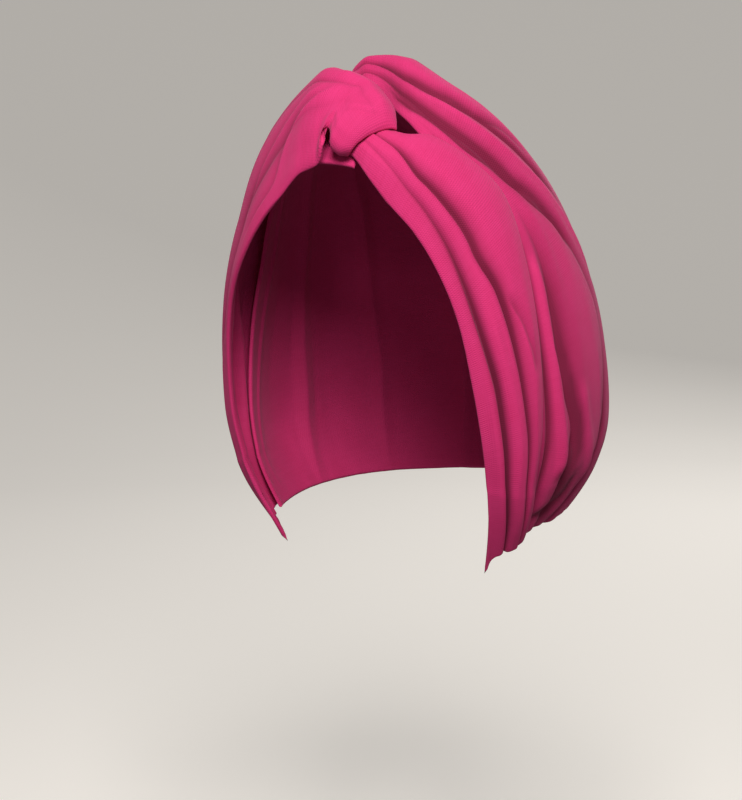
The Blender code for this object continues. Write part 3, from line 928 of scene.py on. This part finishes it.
@dataclass(frozen=True)
class Jersey:
    """Matte cotton jersey with fine knitted rows, a little fuzz, and painted shade in its folds and on
    its inside.
    """

    name: str = "pink_jersey"
    pink: Colour = (0.52, 0.016, 0.115, 1.0)
    pale: Colour = (0.62, 0.032, 0.175, 1.0)
    # Painted shade: the dark colour that folds and hollows are painted towards, and how far
    deep: Colour = (0.12, 0.002, 0.020, 1.0)
    fold_shade: float = 0.85
    course: float = 0.85 * MM
    wale: float = 1.0 * MM
    slant: float = 0.7
    tremble: float = 0.6
    tremble_scale: float = 160.0
    row_share: float = 0.65
    wale_share: float = 0.25
    knit_rise: float = 0.10 * MM
    knit_shade: float = 0.08
    fuzz_rise: float = 0.05 * MM
    fuzz_scale: float = 1400.0
    fuzz_detail: float = 3.0
    fuzz_shade: float = 0.35
    mottle_scale: float = 95.0
    mottle_detail: float = 4.0
    mottle_roughness: float = 0.65
    mottle_shade: float = 0.55
    streak_scale: tuple[float, float, float] = (60, 900, 1)
    streak_shade: float = 0.5
    shade_offset: float = 0.35
    bump: float = 0.7
    roughness: float = 0.82
    rough_change: float = 0.1
    sheen: float = 0.12
    sheen_roughness: float = 0.5
    sheen_tint: Colour = (1.0, 0.45, 0.7, 1.0)
    specular: float = 0.25

    def material(self) -> Material:
        """Material with the knit along the cloth's own measure."""
        material, shader, make = new_material(self.name)
        run = make.node("ShaderNodeUVMap", {"uv_map": "cloth_run"}).outputs[0]
        split = make.node("ShaderNodeSeparateXYZ", {}, {0: run})
        across, along = Number(make, split.outputs[0]), Number(make, split.outputs[1])
        place = make.node("ShaderNodeTexCoord").outputs["Object"]
        painted_shade = make.number("ShaderNodeAttribute", {"attribute_name": "painted_shade"}, {}, "Fac")
        tremble = make.noise(place, self.tremble_scale)
        slant = across.fold_back(self.wale / 2) * self.slant + tremble * (self.tremble * self.course)
        rows = ((along + slant) * (2 * math.pi / self.course)).sine()
        wales = (across * (2 * math.pi / self.wale)).sine()
        knit = rows * self.row_share + wales * self.wale_share
        fuzz = make.noise(place, self.fuzz_scale, self.fuzz_detail)
        mottle = make.noise(place, self.mottle_scale, self.mottle_detail, self.mottle_roughness)
        drawn = make.node("ShaderNodeMapping", {}, {0: run, "Scale": self.streak_scale})
        streak = make.noise(drawn.outputs[0], 1.0)
        lift = (mottle * self.mottle_shade + fuzz * self.fuzz_shade + streak * self.streak_shade
                + knit * self.knit_shade - self.shade_offset)
        body = make.colour(lift, self.pink, self.pale)
        relief = knit * self.knit_rise + fuzz * self.fuzz_rise
        bump = make.node("ShaderNodeBump", {}, {"Height": relief, "Strength": self.bump,
                                                "Distance": 1.0})
        # The colour darkens toward the deep pink by the painted shade attribute: painted shade in
        # folds, inside the wrap and on the allowance
        make.fill(shader, {
            "Base Color": make.colour(painted_shade * self.fold_shade, body, self.deep),
            "Roughness": fuzz * self.rough_change + (self.roughness - self.rough_change / 2),
            "Normal": bump.outputs[0],
            "Sheen Weight": self.sheen,
            "Sheen Roughness": self.sheen_roughness,
            "Sheen Tint": self.sheen_tint,
            "Specular IOR Level": self.specular})
        return material


@dataclass(frozen=True)
class Thread:
    """Spun sewing thread, a shade darker than the cloth."""

    name: str = "pink_thread"
    colour: Colour = (0.5, 0.012, 0.11, 1.0)
    darker: float = 0.6
    twist_scale: float = 2500.0
    roughness: float = 0.6

    def material(self) -> Material:
        """Material with a slight change of shade along the thread."""
        material, shader, make = new_material(self.name)
        place = make.node("ShaderNodeTexCoord").outputs["Object"]
        shade = tuple(part * self.darker for part in self.colour[:3]) + (1.0,)
        twisted = make.colour(make.noise(place, self.twist_scale), self.colour, shade)
        make.fill(shader, {"Base Color": twisted, "Roughness": self.roughness})
        return material


@dataclass
class CentreSeam:
    """Seam along the crown and the centre back: the turned-in edges and the stitches on it."""

    name: str = "centre_seam"
    last_fall: float = 121.0
    allowance_width: float = 2.2 * MM
    allowance_start: float = 0.75 * MM
    allowance_depth: float = 3.4 * MM
    # Painted shade on the turned-in allowance, which lies in shade under the seam
    allowance_shade: float = 0.5
    profile_steps: int = 12
    pitch: float = 3.2 * MM
    length: float = 2.4 * MM
    thickness: float = 0.2 * MM
    slant: float = math.radians(24)
    sides: int = 6
    start: float = 0.012
    column: int = -6
    profile_power: float = 0.5

    def path(self) -> tuple[Array, Array]:
        """Points along the seam on the outside of the cloth, and the way in from each."""
        along = LEFT_REAR.along_shares()
        middle, normal, _, fall = LEFT_REAR.middle_face()
        kept = (along >= LEFT_REAR.seam_from + self.start) & (fall[:, -1] < self.last_fall)
        points, inward = middle[kept, self.column], -normal[kept, self.column]
        inward[:, 0] = 0
        inward = unit(inward)
        points[:, 0] = 0
        return points - inward * CLOTH.wall / 2, inward

    def allowance(self, finish: Material) -> Object:
        """Narrow rib of the two edges, turned in under the seam."""
        points, inward = self.path()
        angle = np.linspace(0, 2 * math.pi, self.profile_steps, endpoint=False)
        angle += math.pi / self.profile_steps
        cosine, sine = (np.sign(wave) * np.abs(wave)**self.profile_power
                        for wave in (np.cos(angle), np.sin(angle)))
        side = self.allowance_width / 2 * cosine
        share = 0.5 - 0.5 * sine
        far = np.linalg.norm(points - HOLLOW.middle, axis=-1)
        room = far - HOLLOW.radius((points - HOLLOW.middle) / far[:, None]) - CLOTH.rest_gap
        ends = np.minimum(self.allowance_depth, room)
        depth = self.allowance_start + share[None] * (ends - self.allowance_start)[:, None]
        rings = points[:, None] + depth[..., None] * inward[:, None]
        rings[..., 0] += side
        count, steps = rings.shape[:2]
        grid = np.arange(count * steps).reshape(count, steps)
        after = np.roll(grid, -1, axis=1)
        walls = np.stack([grid[:-1], grid[1:], after[1:], after[:-1]], -1).reshape(-1, 4)
        caps = [(first, first + 1, steps - 2 - first, steps - 1 - first)
                for first in range(steps // 2 - 1)]
        faces = np.concatenate([walls, np.array(caps), np.array(caps)[:, ::-1] + grid[-1, 0]])
        run = running_length(points, 0)
        runs = np.stack(np.broadcast_arrays(side[None], run[:, None]), -1).reshape(-1, 2)
        # The allowance gets a fixed painted shade
        piece = sheet_object(self.name + "_allowance", rings.reshape(-1, 3), faces, runs,
                             np.full(count * steps, self.allowance_shade))
        piece.data.materials.append(finish)
        return piece

    def tree(self, thread: Material) -> NodeTree:
        """Geometry nodes that lay one stitch at each step of the path.

        Args:
            thread: the material of the stitches.

        Returns:
            A tree with the pitch, length and thickness as its named inputs.
        """
        tree = bpy.data.node_groups.new("stitch_row", "GeometryNodeTree")
        face = tree.interface
        face.new_socket("Geometry", in_out="INPUT", socket_type="NodeSocketGeometry")
        for name, value in (("Pitch", self.pitch), ("Length", self.length),
                            ("Thickness", self.thickness), ("Slant", self.slant)):
            socket = face.new_socket(name, in_out="INPUT", socket_type="NodeSocketFloat")
            socket.default_value = value
        face.new_socket("Geometry", in_out="OUTPUT", socket_type="NodeSocketGeometry")
        make = NodeMaker(tree)
        given = make.node("NodeGroupInput")
        ends = make.node("NodeGroupOutput")
        curve = make.node("GeometryNodeMeshToCurve", {}, {0: given.outputs["Geometry"]})
        steps = make.node("GeometryNodeCurveToPoints", {"mode": "LENGTH"},
                          {"Curve": curve.outputs[0], "Length": given.outputs["Pitch"]})
        lean = make.node("ShaderNodeCombineXYZ", {}, {"Z": given.outputs["Slant"]})
        turned = make.node("FunctionNodeRotateRotation", {"rotation_space": "LOCAL"},
                           {0: steps.outputs["Rotation"], 1: lean.outputs[0]})
        stitch = make.node("GeometryNodeMeshUVSphere", {}, {
            "Segments": self.sides, "Rings": self.sides, "Radius": 0.5})
        breadth = Number(make, given.outputs["Thickness"]) * 2
        size = make.node("ShaderNodeCombineXYZ", {}, {
            "X": given.outputs["Length"], "Y": breadth, "Z": breadth})
        shaped = make.node("GeometryNodeTransform", {}, {"Geometry": stitch.outputs[0],
                                                        "Scale": size.outputs[0]})
        placed = make.node("GeometryNodeInstanceOnPoints", {}, {
            "Points": steps.outputs["Points"], "Instance": shaped.outputs[0],
            "Rotation": turned.outputs[0]})
        real = make.node("GeometryNodeRealizeInstances", {}, {0: placed.outputs[0]})
        dressed = make.node("GeometryNodeSetMaterial", {}, {0: real.outputs[0], "Material": thread})
        tree.links.new(dressed.outputs[0], ends.inputs[0])
        return tree

    def stitches(self, thread: Material) -> Object:
        """Plain mesh of all the stitches."""
        points = self.path()[0]
        line = bpy.data.meshes.new(self.name + "_line")
        line.from_pydata(points.tolist(), [(i, i + 1) for i in range(len(points) - 1)], [])
        guide = linked(self.name + "_line", line)
        modifier = guide.modifiers.new("stitches", "NODES")
        modifier.node_group = self.tree(thread)
        bpy.context.view_layer.update()
        shown = guide.evaluated_get(bpy.context.evaluated_depsgraph_get())
        mesh = bpy.data.meshes.new_from_object(shown)
        guide.modifiers.remove(modifier)
        bpy.data.objects.remove(guide)
        mesh.shade_smooth()
        return linked(self.name + "_stitches", mesh)

    def dress(self) -> list[Object]:
        """Build the allowance and the stitches along the left rear cloth and attach them to the root.
        """
        pieces = [self.allowance(Jersey().material()), self.stitches(Thread().material())]
        for piece in pieces:
            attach(piece, "root")
            LOG.info("%s: %d faces", piece.name, len(piece.data.polygons))
        return pieces


@dataclass
class Loop:
    """One of the two interlocked loops of cloth, with the two bands that leave the knot."""

    name: str
    bands: tuple[Band, ...]
    finish: Jersey

    def dress(self) -> list[Object]:
        """Build both bands, give them the jersey and put them in place of their solids."""
        pieces = []
        for band in self.bands:
            piece = band.build()
            piece.data.materials.append(self.finish.material())
            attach(piece, "root")
            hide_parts(band.name)
            area = sum(face.area for face in piece.data.polygons) / 2
            LOG.info("%s: %d faces, %.4f m2 shown, %.4f m2 flat", piece.name,
                     len(piece.data.polygons), area, band.flat_size[0] * band.flat_size[1])
            pieces.append(piece)
        return pieces


@dataclass(frozen=True)
class Lamp:
    """Square soft light: its direction from the wrap in degrees, its distance and its size."""

    name: str
    azimuth: float
    elevation: float
    away: float
    size: float
    power: float
    tint: tuple[float, float, float]

    def hang(self, aim: tuple[float, float, float]) -> None:
        """Put the light up, turned to a point."""
        side, rise = math.radians(self.azimuth), math.radians(self.elevation)
        towards = Vector((math.sin(side) * math.cos(rise), -math.cos(side) * math.cos(rise),
                          math.sin(rise)))
        data = bpy.data.lights.new(self.name, "AREA")
        data.size, data.energy, data.color = self.size, self.power, self.tint
        lamp = linked(self.name, data)
        lamp.location = Vector(aim) + towards * self.away
        lamp.rotation_euler = towards.to_track_quat("Z", "Y").to_euler()


@dataclass
class Studio:
    """Pale floor and backdrop, soft lights and the camera."""

    eye: tuple[float, float, float] = (401.5 * MM, -559.4 * MM, -31.0 * MM)
    yaw: float = math.radians(1.11)
    pitch: float = math.radians(7.62)
    azimuth: float = math.radians(35)
    lens: float = 74.0
    sensor: float = 36
    clip: tuple[float, float] = (0.01, 50)
    floor_drop: float = 0.45
    floor_reach: float = 1.6
    floor_curve: float = 1.4
    wall_height: float = 3.2
    bowl_sides: int = 72
    bowl_steps: int = 14
    inner_rings: Numbers = (0.02, 0.5)
    floor_colour: Colour = (0.94, 0.90, 0.85, 1.0)
    floor_glow: float = 0.18
    floor_roughness: float = 0.95
    floor_specular: float = 0.1
    air_colour: Colour = (0.80, 0.79, 0.77, 1)
    air_strength: float = 0.29
    aim: tuple[float, float, float] = (0.0, 0.02, -0.09)
    lamps: tuple[Lamp, ...] = (
        Lamp("key_light", 36, 39, 0.85, 0.3, 8.8, (1.0, 0.98, 0.95)),
        Lamp("fill_light", -60, 20, 1.8, 1.2, 1.5, (0.97, 0.98, 1.0)),
        Lamp("back_light", 190, 25, 1.8, 1.2, 9, (1.0, 0.99, 0.97)),
    )

    def camera(self) -> None:
        """Camera at the viewing angle of the photograph."""
        forward = Vector((-math.sin(self.azimuth), math.cos(self.azimuth), 0))
        right = Vector((math.cos(self.azimuth), math.sin(self.azimuth), 0))
        ahead = forward * math.cos(self.yaw) - right * math.sin(self.yaw)
        aside = right * math.cos(self.yaw) + forward * math.sin(self.yaw)
        view = ahead * math.cos(self.pitch) - Vector((0, 0, 1)) * math.sin(self.pitch)
        up = aside.cross(view)
        data = bpy.data.cameras.new("studio_camera")
        data.lens, data.sensor_width, data.sensor_fit = self.lens, self.sensor, "AUTO"
        data.clip_start, data.clip_end = self.clip
        camera = linked("studio_camera", data)
        turn = Matrix((aside, up, -view)).transposed()
        camera.matrix_world = Matrix.Translation(self.eye) @ turn.to_4x4()
        bpy.context.scene.camera = camera

    def floor(self) -> None:
        """Pale floor that rises into a wall all round, so that no edge shows behind the wrap."""
        turns = np.linspace(0, 2 * math.pi, self.bowl_sides, endpoint=False)
        bend = np.linspace(0, math.pi / 2, self.bowl_steps)
        rim, curve = self.floor_reach, self.floor_curve
        inner = rim * np.array(self.inner_rings)
        reach = np.concatenate([inner, rim + curve * np.sin(bend), [rim + curve]])
        height = np.concatenate([0 * inner, curve * (1 - np.cos(bend)), [self.wall_height]])
        points = [(r * math.cos(t), r * math.sin(t), h - self.floor_drop)
                  for r, h in zip(reach, height) for t in turns]
        count, faces = len(turns), [tuple(range(len(turns)))]
        for ring in range(len(reach) - 1):
            for i in range(count):
                j, low, high = (i + 1) % count, ring * count, (ring + 1) * count
                faces.append((low + i, high + i, high + j, low + j))
        mesh = bpy.data.meshes.new("studio_floor")
        mesh.from_pydata(points, [], faces)
        mesh.shade_smooth()
        floor = linked("studio_floor", mesh)
        material, shader, make = new_material("pale_floor")
        make.fill(shader, {"Base Color": self.floor_colour, "Roughness": self.floor_roughness,
                           "Specular IOR Level": self.floor_specular,
                           "Emission Color": self.floor_colour,
                           "Emission Strength": self.floor_glow})
        mesh.materials.append(material)
        floor.visible_diffuse = floor.visible_glossy = floor.visible_shadow = False

    def light(self) -> None:
        """Key close above the camera, a weak fill, a light from behind and an even surround."""
        for lamp in self.lamps:
            lamp.hang(self.aim)
        world = bpy.data.worlds.new("studio_air")
        bpy.context.scene.world = world
        world.use_nodes = True
        air = world.node_tree.nodes["Background"]
        air.inputs["Color"].default_value = self.air_colour
        air.inputs["Strength"].default_value = self.air_strength

    def build(self) -> None:
        """Set everything up."""
        self.floor()
        self.light()
        self.camera()
        bpy.context.scene.view_settings.view_transform = "Standard"


def main() -> None:
    """Build the wrap and the studio, and log each piece."""
    logging.basicConfig(level=logging.INFO, format="%(message)s")
    Studio().build()
    loops = (Loop("left_loop", (LEFT_FRONT, LEFT_REAR), Jersey()),
             Loop("right_loop", (RIGHT_OVER, RIGHT_UNDER), Jersey()))
    for loop in loops:
        for piece in loop.dress():
            LOG.info("%s: %s", loop.name, piece.name)
    CentreSeam().dress()


if __name__ == "__main__":
    main()
